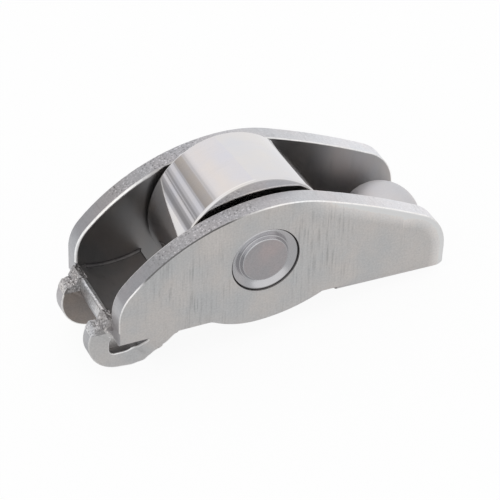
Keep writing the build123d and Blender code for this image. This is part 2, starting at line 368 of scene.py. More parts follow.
@dataclass(frozen=True)
class SteelFinish:
    """Bare steel whose colour, gloss and relief vary over the surface.

    Attributes:
        name: Material name.
        colour: Mean colour, linear.
        warm: Colour of the warmer patches, linear.
        roughness: Mean roughness.
        roughness_spread: How far the roughness wanders.
        grain_per_mm: Density of the fine grain.
        grain_depth: Share of the grain in colour and relief.
        relief_mm: Height of the relief.
        along: Share of the colour along x, as pairs of x in millimetres and share.
        lines: Lines in the surface, if it has them.
        specks: Torn spots in the surface, if it has them.
        rim: Painted highlight along the surface's rim, if it has one.
        patch_depth: How far broad patches are darker and lighter.
    """

    name: str
    colour: Colour
    warm: Colour
    roughness: float
    roughness_spread: float
    grain_per_mm: float
    grain_depth: float
    relief_mm: float
    along: Stops = ()
    lines: ToolLines | None = None
    specks: Specks | None = None
    rim: PaintedRimHighlight | None = None
    patch_depth: float = 0.1

    def material(self, datum: Datum) -> bpy.types.Material:
        """Return the node material of this finish on pieces of the given datum."""
        shader = Shader(self.name)
        place = shader.place(datum)
        x = shader.add("SeparateXYZ", {0: place}).outputs["X"]
        height = shader.math("MULTIPLY", shader.noise(place, self.grain_per_mm, 4.0), self.grain_depth)
        if self.lines:
            height = shader.math("ADD", height, self.lines.height(shader, place, x))
        broad = shader.noise(place, PATCHES_PER_MM)
        tone = shader.math("MULTIPLY_ADD", broad, self.patch_depth, shader.math("ADD", height, 1.0))
        for marks in (self.specks, self.rim):
            if marks:
                tone = shader.math("ADD", tone, marks.tone(shader, place, x))
        if self.along:
            tone = shader.math("MULTIPLY", tone, shader.ramp(x, self.along))
        blend = shader.add("Mix", {"Factor": shader.ramp(broad, ((-0.15, 0.0), (0.15, 1.0))),
                                   "A": (*self.colour, 1.0), "B": (*self.warm, 1.0)}, data_type="RGBA")
        colour = shader.add("VectorMath", {0: blend.outputs["Result"], "Scale": tone}, operation="SCALE")
        capped = shader.add("VectorMath", {0: colour.outputs[0], 1: (BRIGHTEST,) * 3}, operation="MINIMUM")
        gloss = shader.noise(place, GLOSS_PER_MM, 4.0)
        rough = shader.math("MULTIPLY_ADD", gloss, self.roughness_spread, self.roughness)
        bump = shader.add("Bump", {"Strength": 1.0, "Distance": self.relief_mm * MM, "Height": height})
        steel = shader.add("BsdfPrincipled", {"Base Color": capped.outputs[0], "Metallic": 1.0,
                                              "Roughness": rough, "Normal": bump.outputs[0]})
        shader.add("OutputMaterial", {"Surface": steel.outputs[0]})
        return shader.material


def linked(name: str, data: bpy.types.ID) -> bpy.types.Object:
    """Return a new object at the scene's origin that holds the data."""
    item = bpy.data.objects.new(name, data)
    bpy.context.scene.collection.objects.link(item)
    return item


def mesh_object(name: str, shape: Skin, smooth_angle: float = 35.0) -> bpy.types.Object:
    """Make an object at the origin from a bmesh, smooth but for its sharp edges.

    Args:
        name: Name of the object.
        shape: Geometry in frame metres; it is freed.
        smooth_angle: Edges that fold by more than this many degrees stay sharp.

    Returns:
        The linked object.
    """
    for face in shape.faces:
        face.smooth = True
    for edge in shape.edges:
        edge.smooth = edge.is_manifold and edge.calc_face_angle(0.0) < math.radians(smooth_angle)
    mesh = bpy.data.meshes.new(name)
    shape.to_mesh(mesh)
    shape.free()
    return linked(name, mesh)


def rounded(corners: list[tuple[float, float, float]], steps: int = 6) -> Outline:
    """Round the corners of an open outline with tangent arcs.

    Args:
        corners: Points of the outline, each with the radius of its rounding.
        steps: Straight pieces per arc.

    Returns:
        The rounded outline's points.
    """
    outline: Outline = [corners[0][:2]]
    nearly_straight = math.radians(89.0)
    for before, corner, after in zip(corners, corners[1:], corners[2:]):
        here = Vector(corner[:2])
        back, ahead = (Vector(before[:2]) - here), (Vector(after[:2]) - here)
        half = back.angle(ahead) / 2
        if corner[2] <= 0.0 or half > nearly_straight:
            outline.append(tuple(here))
            continue
        reach = min(corner[2] / math.tan(half), 0.49 * back.length, 0.49 * ahead.length)
        start, end = here + back.normalized() * reach, here + ahead.normalized() * reach
        radius = reach * math.tan(half)
        centre = here + (back.normalized() + ahead.normalized()).normalized() * (radius / math.sin(half))
        first, last = start - centre, end - centre
        for step in range(steps + 1):
            ray = first.normalized().slerp(last.normalized(), step / steps)
            outline.append(tuple(centre + ray * radius))
    outline.append(corners[-1][:2])
    return outline


def turned(outline: Outline, datum: Datum, segments: int) -> Skin:
    """Turn an outline of radius and length about the pin's axis into a closed solid.

    Args:
        outline: Closed loop, or a run that starts and ends on the axis, in millimetres.
        datum: Place of the pin's axis.
        segments: Steps round the axis.

    Returns:
        The solid, with its faces outwards.
    """
    shape = bmesh.new()
    place = datum.matrix() @ Matrix.Scale(MM, 4)
    rings = []
    for radius, along in outline:
        if radius < ON_AXIS:
            rings.append([shape.verts.new(place @ Vector((0.0, along, 0.0)))])
            continue
        ring = []
        for step in range(segments):
            angle = 2 * math.pi * step / segments
            point = Vector((radius * math.cos(angle), along, radius * math.sin(angle)))
            ring.append(shape.verts.new(place @ point))
        rings.append(ring)
    pairs = list(zip(rings, rings[1:]))
    if len(rings[0]) > 1:
        pairs.append((rings[-1], rings[0]))
    for low, high in pairs:
        for step in range(segments):
            corners = [low[step % len(low)], low[(step + 1) % len(low)],
                       high[(step + 1) % len(high)], high[step % len(high)]]
            unique = list(dict.fromkeys(corners))
            if len(unique) > 2:
                shape.faces.new(unique)
    bmesh.ops.recalc_face_normals(shape, faces=shape.faces)
    return shape


def eased(stops: Stops, at: float) -> float:
    """Return a value that eases from stop to stop and is zero outside them."""
    for (start, low), (end, high) in zip(stops, stops[1:]):
        if start <= at <= end:
            share = (1 - math.cos(math.pi * (at - start) / (end - start))) / 2
            return low + (high - low) * share
    return 0.0


def joined_copy(node: bpy.types.Object) -> Skin:
    """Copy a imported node's loose triangles as one skin with flat faces joined."""
    shape = bmesh.new()
    shape.from_mesh(node.data)
    bmesh.ops.remove_doubles(shape, verts=shape.verts, dist=WELD)
    bmesh.ops.dissolve_limit(shape, angle_limit=math.radians(0.1), verts=shape.verts, edges=shape.edges)
    return shape


@dataclass
class PressedArm:
    """The arm pressed from sheet: walls, floor with dome, web and guide ears.

    Attributes:
        datum: Place of the arm's datum.
        channel_half: Half of the gap between the walls.
        wall_half: Half of the arm's width.
        cut_edge: Height of the walls' lower edge over the ears' tails.
        tail_end: Where the ears' tails end along x.
        slot_start: Where the slot between ear and wall starts along x.
        web_front: Where the web's front end starts along x.
        bore_reach: Distance from the pin's axis that takes in its holes in the walls.
        dome_front: Where the dome starts along x.
        dome_half: Half of the dome's width.
        dome_foot: Height of the dome's foot.
        edge: Width of the broken edges.
        wide_edge: Width of the far wall's inner edge at the valve end.
        wide_end: Where that wider edge ends along x.
        sharp_fold: Edges that fold by more than this many degrees are broken.
        rim_low: Height above which the walls' inner edges are free.
        fillet: Width of the fillet between web and walls.
        fillet_span: Where the fillet starts and ends along x.
        fillet_low: Height above which it lies.
        torn_low: Lowest corner of the torn shoulders' box, on the side of positive y.
        torn_high: Highest corner of that box.
        torn_depth: How far the torn metal is pushed in and out.
        torn_step: Longest edge of the torn metal's faces.
        tail_rim: Outward shift of the ears' tails against the place along the bend.
        tail_cuts: Steps in which the tails follow it.
        rim_split: Place across the bend where the tails' outer half starts.
        nose_start: Where the socket's end starts along x.
        nose_end: Where the walls end along x.
        nose_round: Radius of the walls' last lower corner.
        nose_steps: Steps in which the corner is cut.
        floor_low: Height of the floor's underside at that corner.
        floor_drop: How far the floor falls towards that corner.
        drop_from: Where the fall starts along x.
        drop_top: Height at which the walls start to stretch with the fall.
        drop_blend: Height over which they take it up.
    """

    datum: Datum
    channel_half: float = 5.45
    wall_half: float = 7.75
    cut_edge: float = -6.9
    tail_end: float = -9.0
    slot_start: float = -17.3
    web_front: float = -17.0
    bore_reach: float = 4.3
    dome_front: float = 13.3
    dome_half: float = 5.1
    dome_foot: float = -5.15
    edge: float = 0.15
    wide_edge: float = 0.27
    wide_end: float = -7.0
    sharp_fold: float = 50.0
    rim_low: float = -4.6
    fillet: float = 0.35
    fillet_span: tuple[float, float] = (-16.5, -9.5)
    fillet_low: float = -6.6
    torn_low: Colour = (-19.2, 3.12, -6.9)
    torn_high: Colour = (-16.9, 5.44, -4.6)
    torn_depth: float = 0.12
    torn_step: float = 0.14
    tail_rim: Stops = ((-18.9, 0.0), (-17.7, 0.42), (-15.2, -0.26), (-14.2, 0.21), (-12.4, 0.0))
    tail_cuts: int = 22
    rim_split: float = -3.05
    nose_start: float = 9.0
    nose_end: float = 22.6
    nose_round: float = 1.9
    nose_steps: int = 12
    floor_low: float = -7.8
    floor_drop: float = 0.31
    drop_from: float = 8.6
    drop_top: float = -3.0
    drop_blend: float = 2.2

    def finishes(self) -> dict[Zone, SteelFinish]:
        """Return the finish of each kind of surface, in the order of the zones."""
        wall_lines = ToolLines(4.6, (1.0, 0.3, 0.06), 0.24,
                               ((-20.0, 0.2), (-14.5, 0.3), (-12.0, 1.0), (-5.0, 1.0), (-3.6, 0.25),
                                (2.2, 0.3), (3.6, 1.0), (9.5, 1.0), (12.0, 0.25), (24.0, 0.2)))
        torn_spots = Specks(4.0, 0.6, 0.5, ((-20.0, 0.1), (-13.5, 0.1), (-12.0, 1.0), (-9.5, 0.6),
                                            (-8.0, 1.0), (-2.5, 1.0), (-0.5, 0.2), (24.0, 0.15)))
        return {
            # The wall's rim is a painted highlight, lighter along its flank and round its nose.
            Zone.WALL: SteelFinish(
                "rolled_wall", (0.68, 0.683, 0.688), (0.705, 0.675, 0.655), 0.42, 0.12, 4.5, 0.34, 0.010,
                lines=wall_lines, rim=PaintedRimHighlight(), patch_depth=0.25),
            # The sheared band's tone along x is painted light: darkest just before the pin and lightest
            # towards the ball socket, as the light falls on it.
            Zone.SHEARED: SteelFinish(
                "sheared_edge", (1.02, 1.03, 1.07), (1.04, 1.01, 1.03), 0.42, 0.15, 8.0, 0.30, 0.02,
                along=((-20.0, 0.46), (-12.0, 0.43), (-6.0, 0.39), (1.0, 0.52), (9.0, 0.60), (16.0, 0.74),
                       (24.0, 0.78)),
                lines=ToolLines(5.0, (0.5, 0.06, 0.5), 0.12), specks=torn_spots),
            # The channel's dark tone is painted shade, lighter towards the ball socket.
            Zone.CHANNEL: SteelFinish(
                "channel_inside", (1.0, 0.99, 1.0), (1.05, 0.98, 0.95), 0.38, 0.12, 7.0, 0.10, 0.010,
                along=((-20.0, 0.26), (8.0, 0.24), (12.0, 0.34), (18.0, 0.48), (24.0, 0.5)),
                lines=ToolLines(1.4, (1.0, 1.0, 0.2), 0.12), patch_depth=0.2),
            # The ears' inner faces are dark with painted shade.
            Zone.EAR_INSIDE: SteelFinish(
                "ear_inside", (0.27, 0.255, 0.25), (0.29, 0.25, 0.225), 0.5, 0.12, 5.0, 0.5, 0.012,
                patch_depth=0.9),
            Zone.TORN: SteelFinish(
                "torn_metal", (0.42, 0.42, 0.43), (0.44, 0.42, 0.41), 0.4, 0.2, 6.0, 0.5, 0.02,
                specks=Specks(3.5, 0.8, 0.5)),
            # The dome's flank towards the pin is darker: painted shade.
            Zone.DOME: SteelFinish(
                "drawn_dome", (0.63, 0.63, 0.655), (0.65, 0.63, 0.635), 0.58, 0.08, 6.0, 0.10, 0.008,
                along=((13.0, 0.3), (14.4, 0.4), (15.9, 1.0), (24.0, 1.0))),
            # The outer edge's white tone is a painted highlight, with a painted dark reflection between x
            # -14 and -4.5.
            Zone.OUTER_EDGE: SteelFinish(
                "outer_edge_painted_highlight", (1.0, 1.0, 1.0), (1.0, 0.97, 0.95), 0.4, 0.1, 3.0, 0.5, 0.01,
                along=((-20.0, 0.6), (-17.0, 0.95), (-15.2, 0.9), (-14.2, 0.16), (-4.5, 0.13), (-2.5, 0.5),
                       (0.5, 0.92), (24.0, 0.95))),
            # The inner edge's white tone is a painted highlight, dimmer between x -8 and -3.
            Zone.INNER_EDGE: SteelFinish(
                "inner_edge_painted_highlight", (1.0, 1.0, 1.0), (1.0, 0.97, 0.95), 0.35, 0.1, 3.0, 0.5, 0.01,
                along=((-20.0, 0.75), (-17.0, 0.95), (-11.0, 0.95), (-8.0, 0.45), (-3.0, 0.5), (0.0, 0.8),
                       (24.0, 0.9))),
            # The fillet's near-black tone is painted shade in the crease under the web.
            Zone.FILLET: SteelFinish(
                "bend_fillet", (0.09, 0.088, 0.09), (0.17, 0.16, 0.155), 0.55, 0.1, 3.0, 0.6, 0.01),
            Zone.WEB_END: SteelFinish(
                "web_end", (0.66, 0.67, 0.69), (0.70, 0.67, 0.65), 0.4, 0.1, 4.0, 0.5, 0.015,
                specks=Specks(4.0, 0.3, 0.4)),
        }

    def zone_of(self, face: bmesh.types.BMFace) -> Zone:
        """Return the kind of surface that a face of the arm is."""
        middle = self.datum.local(face.calc_center_median())
        normal = self.datum.local_direction(face.normal)
        side, across = abs(middle.y), normal.y * math.copysign(1.0, middle.y)
        at_wall_face = side > self.wall_half - 0.2
        if middle.z < self.cut_edge and middle.x < self.tail_end:
            if middle.x > self.slot_start and normal.z > 0.25 and abs(across) < 0.5:
                return Zone.CHANNEL
            return Zone.WALL if across > 0.4 else Zone.EAR_INSIDE if across < -0.4 else Zone.SHEARED
        in_bore = math.hypot(middle.x, middle.z) < self.bore_reach and side > self.wall_half - 0.6
        if in_bore and across < 0.9:
            return Zone.CHANNEL
        if at_wall_face and 0.3 < across < 0.95 and middle.z > -5.0:
            return Zone.OUTER_EDGE
        if at_wall_face and across > 0.9:
            return Zone.WALL
        if across < -0.9:
            return Zone.CHANNEL
        if side > self.channel_half + 0.02 and middle.z > self.cut_edge + 0.05:
            return Zone.SHEARED
        if middle.x < self.web_front:
            return Zone.WEB_END
        if middle.x > self.dome_front and side < self.dome_half and middle.z > self.dome_foot:
            return Zone.DOME
        return Zone.WALL if normal.z < -0.3 else Zone.CHANNEL

    def in_torn_box(self, face: bmesh.types.BMFace) -> bool:
        """Return whether a face's middle lies in the torn shoulders' box on either side."""
        place = self.datum.local(face.calc_center_median())
        mirrored = Vector((place.x, abs(place.y), place.z))
        return all(low < value < high for low, value, high in zip(self.torn_low, mirrored, self.torn_high))

    def on_channel(self, at: Vector) -> bool:
        """Return whether a point of the datum lies in a wall's inner face."""
        return abs(abs(at.y) - self.channel_half) < 0.01

    def cut(self, shape: Skin, at: Vector, normal: Vector,
            near: Callable[[bmesh.types.BMFace], bool]) -> None:
        """Part the faces near a plane along it and keep both sides.

        Args:
            shape: The arm's skin, changed in place.
            at: Point of the plane, in the arm's datum.
            normal: Normal of the plane there.
            near: Whether a face may be parted.
        """
        place = self.datum.matrix()
        faces = [face for face in shape.faces if near(face)]
        verts = dict.fromkeys(vert for face in faces for vert in face.verts)
        edges = dict.fromkeys(edge for face in faces for edge in face.edges)
        bmesh.ops.bisect_plane(shape, geom=[*verts, *edges, *faces], dist=CUT_TOLERANCE,
                               plane_co=place @ (at * MM), plane_no=place.to_3x3() @ normal)

    def shape_tails(self, shape: Skin) -> None:
        """Ease the rims of the ears' tails along the slanting bend.

        Args:
            shape: The arm's skin, changed in place.
        """
        def near_tails(face: bmesh.types.BMFace) -> bool:
            """Return whether a face lies round the ears and their tails."""
            return (self.datum.local(face.calc_center_median()).z < self.cut_edge + 5.0
                    and any(self.datum.local(vert.co).x < self.tail_end for vert in face.verts))

        along, outward = Vector((1.0, 0.0, 1.0)).normalized(), Vector((1.0, 0.0, -1.0)).normalized()
        first, last = self.tail_rim[0][0], self.tail_rim[-1][0]
        for step in range(self.tail_cuts + 1):
            self.cut(shape, along * (first + (last - first) * step / self.tail_cuts), along, near_tails)
        turn = self.datum.matrix().to_3x3()
        for vert in shape.verts:
            local = self.datum.local(vert.co)
            in_tail = local.z <= self.cut_edge + 1.0 and local.x <= self.tail_end
            if in_tail and local.dot(outward) > self.rim_split:
                vert.co += turn @ outward * (eased(self.tail_rim, local.dot(along)) * MM)

    def shape_nose(self, shape: Skin) -> None:
        """Lower the floor towards the socket's end and round its last corner.

        Args:
            shape: The arm's skin, changed in place.
        """
        def near_nose(face: bmesh.types.BMFace) -> bool:
            """Return whether a face lies at the socket's end."""
            return self.datum.local(face.calc_center_median()).x > self.nose_start

        place = self.datum.matrix()
        middle = Vector((self.nose_end - self.nose_round, 0.0, self.floor_low + self.nose_round))
        for step in range(1, self.nose_steps):
            reach = self.nose_round * math.sin(math.pi / 2 * step / self.nose_steps)
            for at, normal in ((middle.x + reach, Vector((1.0, 0.0, 0.0))),
                               (middle.z - reach, Vector((0.0, 0.0, 1.0)))):
                self.cut(shape, normal * at, normal, near_nose)
        for vert in shape.verts:
            local = self.datum.local(vert.co)
            if local.x > self.drop_from and local.z < self.drop_top:
                share = min(1.0, (self.drop_top - local.z) / self.drop_blend)
                slope = self.floor_drop / (self.nose_end - self.drop_from)
                local.z -= share * slope * (local.x - self.drop_from)
            reach = Vector((local.x - middle.x, 0.0, local.z - middle.z))
            if reach.x > 0.0 and reach.z < 0.0 and reach.length > self.nose_round:
                reach = reach.normalized() * self.nose_round
                local.x, local.z = middle.x + reach.x, middle.z + reach.z
            vert.co = place @ (local * MM)

    def torn_faces(self, shape: Skin) -> list[bmesh.types.BMFace]:
        """Return the torn shoulders' faces, parted into triangles."""
        inside = [face for face in shape.faces if self.in_torn_box(face)]
        bmesh.ops.triangulate(shape, faces=inside)
        shape.normal_update()
        return [face for face in shape.faces if self.in_torn_box(face)]

    def tear(self, shape: Skin) -> None:
        """Dice the torn shoulders into small faces and push these in and out.

        Args:
            shape: The arm's skin, changed in place.
        """
        def near_shoulders(face: bmesh.types.BMFace) -> bool:
            """Return whether a face reaches to the shoulders along x."""
            return any(self.datum.local(vert.co).x < self.torn_high[0] + 0.5 for vert in face.verts)

        for axis in range(3):
            normal = Vector((0.0, 0.0, 0.0))
            normal[axis] = 1.0
            for corner in (self.torn_low, self.torn_high):
                for side in ((1.0, -1.0) if axis == 1 else (1.0,)):
                    self.cut(shape, normal * corner[axis] * side, normal, near_shoulders)
        for _ in range(6):
            edges = {edge for face in self.torn_faces(shape) for edge in face.edges}
            longest = [edge for edge in edges if edge.calc_length() > self.torn_step * MM]
            bmesh.ops.subdivide_edges(shape, edges=longest, cuts=1)
        inside = set(self.torn_faces(shape))
        moves = {}
        for vert in {vert for face in inside for vert in face.verts}:
            if all(face in inside for face in vert.link_faces):
                local = self.datum.local(vert.co)
                push = noise.noise(local * 2.6) + 0.5 * noise.noise(local * 6.1)
                moves[vert] = vert.normal * (push * self.torn_depth * MM)
        for vert, move in moves.items():
            vert.co += move
        for face in inside:
            face.material_index = Zone.TORN

    def round_edges(self, shape: Skin, zone: Zone, width: float,
                    wanted: Callable[[Vector, float], bool]) -> None:
        """Round one group of the arm's corners.

        Args:
            shape: The arm's skin, changed in place.
            zone: Kind of surface that the rounding becomes.
            width: Width of the rounding.
            wanted: Whether an edge is in the group, from its middle and its fold in degrees.
        """
        picked = []
        for edge in shape.edges:
            if edge.is_manifold and all(face.material_index == UNDRESSED for face in edge.link_faces):
                fold = math.degrees(edge.calc_face_angle_signed(0.0))
                if wanted(self.datum.local((edge.verts[0].co + edge.verts[1].co) / 2), fold):
                    picked.append(edge)
        made = bmesh.ops.bevel(shape, geom=picked, offset=width * MM, offset_type="OFFSET", segments=3,
                               profile=0.5, affect="EDGES", clamp_overlap=False, material=-1)
        for face in made["faces"]:
            face.material_index = zone

    def break_edges(self, shape: Skin) -> None:
        """Round the walls' inner edges and the tails' rims, and fill the corner under the web.

        Args:
            shape: The arm's skin, changed in place.
        """
        first, last = self.fillet_span
        for zone, width, wanted in (
                (Zone.INNER_EDGE, self.wide_edge, lambda at, fold: fold > self.sharp_fold
                 and self.on_channel(at) and at.z > self.rim_low and at.y > 0.0 and at.x < self.wide_end),
                (Zone.INNER_EDGE, self.edge, lambda at, fold: fold > self.sharp_fold
                 and self.on_channel(at) and at.z > self.rim_low),
                (Zone.INNER_EDGE, self.edge, lambda at, fold: fold > self.sharp_fold
                 and at.x < self.tail_end and at.z < self.cut_edge - 0.05),
                (Zone.FILLET, self.fillet, lambda at, fold: fold < -self.sharp_fold
                 and self.on_channel(at) and at.z > self.fillet_low and first < at.x < last)):
            self.round_edges(shape, zone, width, wanted)

    def build(self, node: bpy.types.Object) -> bpy.types.Object:
        """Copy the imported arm, finish its shape and dress its faces.

        Args:
            node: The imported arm.

        Returns:
            The finished piece.
        """
        shape = joined_copy(node)
        for face in shape.faces:
            face.material_index = UNDRESSED
        self.shape_tails(shape)
        self.shape_nose(shape)
        self.break_edges(shape)
        self.tear(shape)
        for face in shape.faces:
            if face.material_index == UNDRESSED:
                face.material_index = self.zone_of(face)
        piece = mesh_object("follower_arm", shape)
        for finish in self.finishes().values():
            piece.data.materials.append(finish.material(self.datum))
        flats = piece.modifiers.new("flat_normals", "WEIGHTED_NORMAL")
        flats.keep_sharp = True
        return piece


@dataclass
class StakedPin:
    """The roller's pin, its ends staked into both walls by a ring punch.

    Attributes:
        datum: Place of the pin.
        radius: Radius of the pin.
        half_length: Half of its length.
        flare: How far the staked rim stands out.
        flare_depth: Length of the flare.
        disc_radius: Radius of the disc that the punch leaves in the middle.
        dish: How far the disc's middle lies below its edge.
        groove: Width of the punched groove.
        groove_depth: Depth of that groove.
        segments: Steps round the axis.
        disc_finish: Finish of the disc.
        ring_finish: Finish of the groove, the rim and the rest.
    """

    datum: Datum
    radius: float = 3.95
    half_length: float = 7.69
    flare: float = 0.06
    flare_depth: float = 0.45
    disc_radius: float = 2.72
    dish: float = 0.08
    groove: float = 0.7
    groove_depth: float = 0.5
    segments: int = 96
    disc_finish: SteelFinish = SteelFinish(
        "pin_disc", (0.50, 0.485, 0.50), (0.54, 0.475, 0.475), 0.36, 0.08, 5.0, 0.4, 0.008, patch_depth=0.3)
    ring_finish: SteelFinish = SteelFinish(
        "pin_ring", (0.56, 0.56, 0.58), (0.60, 0.58, 0.59), 0.2, 0.08, 6.0, 0.12, 0.006, patch_depth=0.2)

    def outline(self) -> Outline:
        """Return the pin's half section from end to end, as radius and length."""
        end, root = self.half_length, self.half_length - self.groove_depth
        rim = self.disc_radius + self.groove
        half = [(0.0, end - self.dish, 0.0), (self.disc_radius - 0.6, end - 0.05, 0.5),
                (self.disc_radius, end, 0.12), (self.disc_radius + 0.22, root, 0.1),
                (rim - 0.15, end - 0.32, 0.08), (self.radius - 0.15, end - 0.03, 0.12),
                (self.radius + self.flare, end - 0.12, 0.1),
                (self.radius, end - self.flare_depth, 0.2), (self.radius, 0.0, 0.0)]
        near = rounded(half)
        return near[:-1] + [(radius, -along) for radius, along in reversed(near[:-1])]

    def build(self) -> bpy.types.Object:
        """Turn the pin and dress it."""
        piece = mesh_object("roller_pin", turned(self.outline(), self.datum, self.segments))
        for finish in (self.disc_finish, self.ring_finish):
            piece.data.materials.append(finish.material(self.datum))
        for face in piece.data.polygons:
            middle = self.datum.local(face.center)
            face.material_index = int(math.hypot(middle.x, middle.z) > self.disc_radius - 0.15)
        return piece


@dataclass
class CamRoller:
    """The hardened outer ring that runs on the cam.

    Attributes:
        datum: Place of the ring.
        radius: Radius of the ring.
        width: Width of the ring.
        bore: Radius of its bore.
        edge_radius: Radius of its outer edges.
        bore_edge: Radius of the bore's edges.
        segments: Steps round the axis.
        finish: Its finish.
    """

    datum: Datum
    radius: float = 8.95
    width: float = 9.8
    bore: float = 5.59
    edge_radius: float = 0.35
    bore_edge: float = 0.25
    segments: int = 160
    finish: SteelFinish = SteelFinish(
        "honed_roller", (0.71, 0.705, 0.73), (0.74, 0.71, 0.69), 0.06, 0.02, 12.0, 0.02, 0.0003,
        lines=ToolLines(7.0, (0.04, 1.0, 0.04), 0.03), patch_depth=0.06)

    def build(self) -> bpy.types.Object:
        """Turn the ring and dress it."""
        half = self.width / 2
        top = rounded([(self.bore, 0.0, 0.0), (self.bore, half, self.bore_edge),
                       (self.radius, half, self.edge_radius), (self.radius, 0.0, 0.0)])
        outline = top + [(radius, -along) for radius, along in reversed(top[1:-1])]
        piece = mesh_object("cam_roller", turned(outline, self.datum, self.segments))
        piece.data.materials.append(self.finish.material(self.datum))
        return piece


@dataclass
class NeedleRow:
    """The full complement of needles between the pin and the roller.

    Attributes:
        datum: Place of the pin.
        radius: Radius of a needle.
        length: Length of a needle.
        end_radius: Radius of the ends' rounding.
        pitch_radius: Radius of the circle that the needles' axes lie on.
        count: Number of needles.
        sides: Steps round a needle.
        arc_half: Sine of half a right angle, where the two-step rounding has its middle.
        finish: Their finish.
    """

    datum: Datum
    radius: float = 0.8
    length: float = 9.6
    end_radius: float = 0.25
    pitch_radius: float = 4.77
    count: int = 18
    sides: int = 24
    arc_half: float = 0.707
    finish: SteelFinish = SteelFinish(
        "needle_steel", (0.60, 0.60, 0.60), (0.60, 0.59, 0.57), 0.2, 0.05, 12.0, 0.03, 0.002)

    def sizes(self) -> dict[str, tuple[str, object]]:
        """Return the tree's inputs: socket type and value, in metres and radians, by name."""
        return {"Count": ("NodeSocketInt", self.count), "Sides": ("NodeSocketInt", self.sides),
                "Pitch Radius": ("NodeSocketFloat", self.pitch_radius * MM),
                "Needle Radius": ("NodeSocketFloat", self.radius * MM),
                "Needle Length": ("NodeSocketFloat", self.length * MM),
                "End Radius": ("NodeSocketFloat", self.end_radius * MM),
                "Centre": ("NodeSocketVector", tuple(self.datum.centre)),
                "Tilt": ("NodeSocketFloat", self.datum.tilt),
                "Steel": ("NodeSocketMaterial", self.finish.material(self.datum))}

    def tree(self, sizes: dict[str, tuple[str, object]]) -> tuple[bpy.types.NodeTree, dict[str, str]]:
        """Build the tree that sets round-ended needles on a circle about the pin.

        Args:
            sizes: The tree's inputs, as sizes() gives them.

        Returns:
            The tree, and its input identifiers by name.
        """
        nodes = NodeTree(bpy.data.node_groups.new("needle_circle", "GeometryNodeTree"))
        sockets = nodes.tree.interface
        keys = {name: sockets.new_socket(name, in_out="INPUT", socket_type=kind).identifier
                for name, (kind, _) in sizes.items()}
        sockets.new_socket("Geometry", in_out="OUTPUT", socket_type="NodeSocketGeometry")
        size = nodes.add("NodeGroupInput").outputs
        turn = nodes.math("MULTIPLY", nodes.add("GeometryNodeInputIndex").outputs[0],
                          nodes.math("DIVIDE", 2 * math.pi, size["Count"]))
        spot = nodes.add("CombineXYZ", {
            "X": nodes.math("MULTIPLY", nodes.math("SINE", turn), size["Pitch Radius"]),
            "Z": nodes.math("MULTIPLY", nodes.math("COSINE", turn), size["Pitch Radius"])})
        points = nodes.add("GeometryNodePoints", {"Count": size["Count"], "Position": spot.outputs[0]})
        tips = nodes.math("MULTIPLY", size["End Radius"], 2.0)
        body = nodes.math("SUBTRACT", size["Needle Length"], tips)
        needle = nodes.add("GeometryNodeMeshCylinder", {
            "Vertices": size["Sides"], "Radius": size["Needle Radius"], "Depth": body}, fill_type="NGON")
        solid = needle.outputs["Mesh"]
        caps = {0: needle.outputs["Top"], 1: needle.outputs["Bottom"]}
        ends = nodes.add("FunctionNodeBooleanMath", caps, operation="OR").outputs[0]
        share = nodes.math("DIVIDE", size["End Radius"], size["Needle Radius"])
        slim = nodes.math("MULTIPLY_ADD", share, self.arc_half - 1.0, 1.0)
        tip = nodes.math("DIVIDE", nodes.math("SUBTRACT", 1.0, share), slim)
        for rise, scale in ((self.arc_half, slim), (1.0 - self.arc_half, tip)):
            height = nodes.math("MULTIPLY", size["End Radius"], rise)
            grown = nodes.add("GeometryNodeExtrudeMesh", {
                "Mesh": solid, "Selection": ends, "Offset Scale": height, "Individual": False}, mode="FACES")
            ends = grown.outputs["Top"]
            solid = nodes.add("GeometryNodeScaleElements", {
                "Geometry": grown.outputs["Mesh"], "Selection": ends, "Scale": scale}).outputs[0]
        row = nodes.add("GeometryNodeInstanceOnPoints", {
            "Points": points.outputs[0], "Instance": solid, "Rotation": (math.pi / 2, 0.0, 0.0)})
        tilt = nodes.add("CombineXYZ", {"Y": size["Tilt"]})
        placed = nodes.add("GeometryNodeTransform", {
            "Geometry": row.outputs[0], "Translation": size["Centre"], "Rotation": tilt.outputs[0]})
        real = nodes.add("GeometryNodeRealizeInstances", {"Geometry": placed.outputs[0]})
        dressed = nodes.add("GeometryNodeSetMaterial", {
            "Geometry": real.outputs[0], "Material": size["Steel"]})
        nodes.add("NodeGroupOutput", {"Geometry": dressed.outputs[0]})
        return nodes.tree, keys

    def build(self) -> bpy.types.Object:
        """Return the dressed needles as one plain mesh."""
        sizes = self.sizes()
        tree, keys = self.tree(sizes)
        source = linked("needle_source", bpy.data.meshes.new("needle_source"))
        circle = source.modifiers.new("needle_circle", "NODES")
        circle.node_group = tree
        for name, (_, value) in sizes.items():
            circle[keys[name]] = value
        graph = bpy.context.evaluated_depsgraph_get()
        mesh = bpy.data.meshes.new_from_object(source.evaluated_get(graph), depsgraph=graph)
        source.modifiers.remove(circle)
        bpy.data.objects.remove(source)
        mesh.shade_smooth()
        mesh.set_sharp_from_angle(angle=math.radians(50.0))
        return linked("needle_row", mesh)


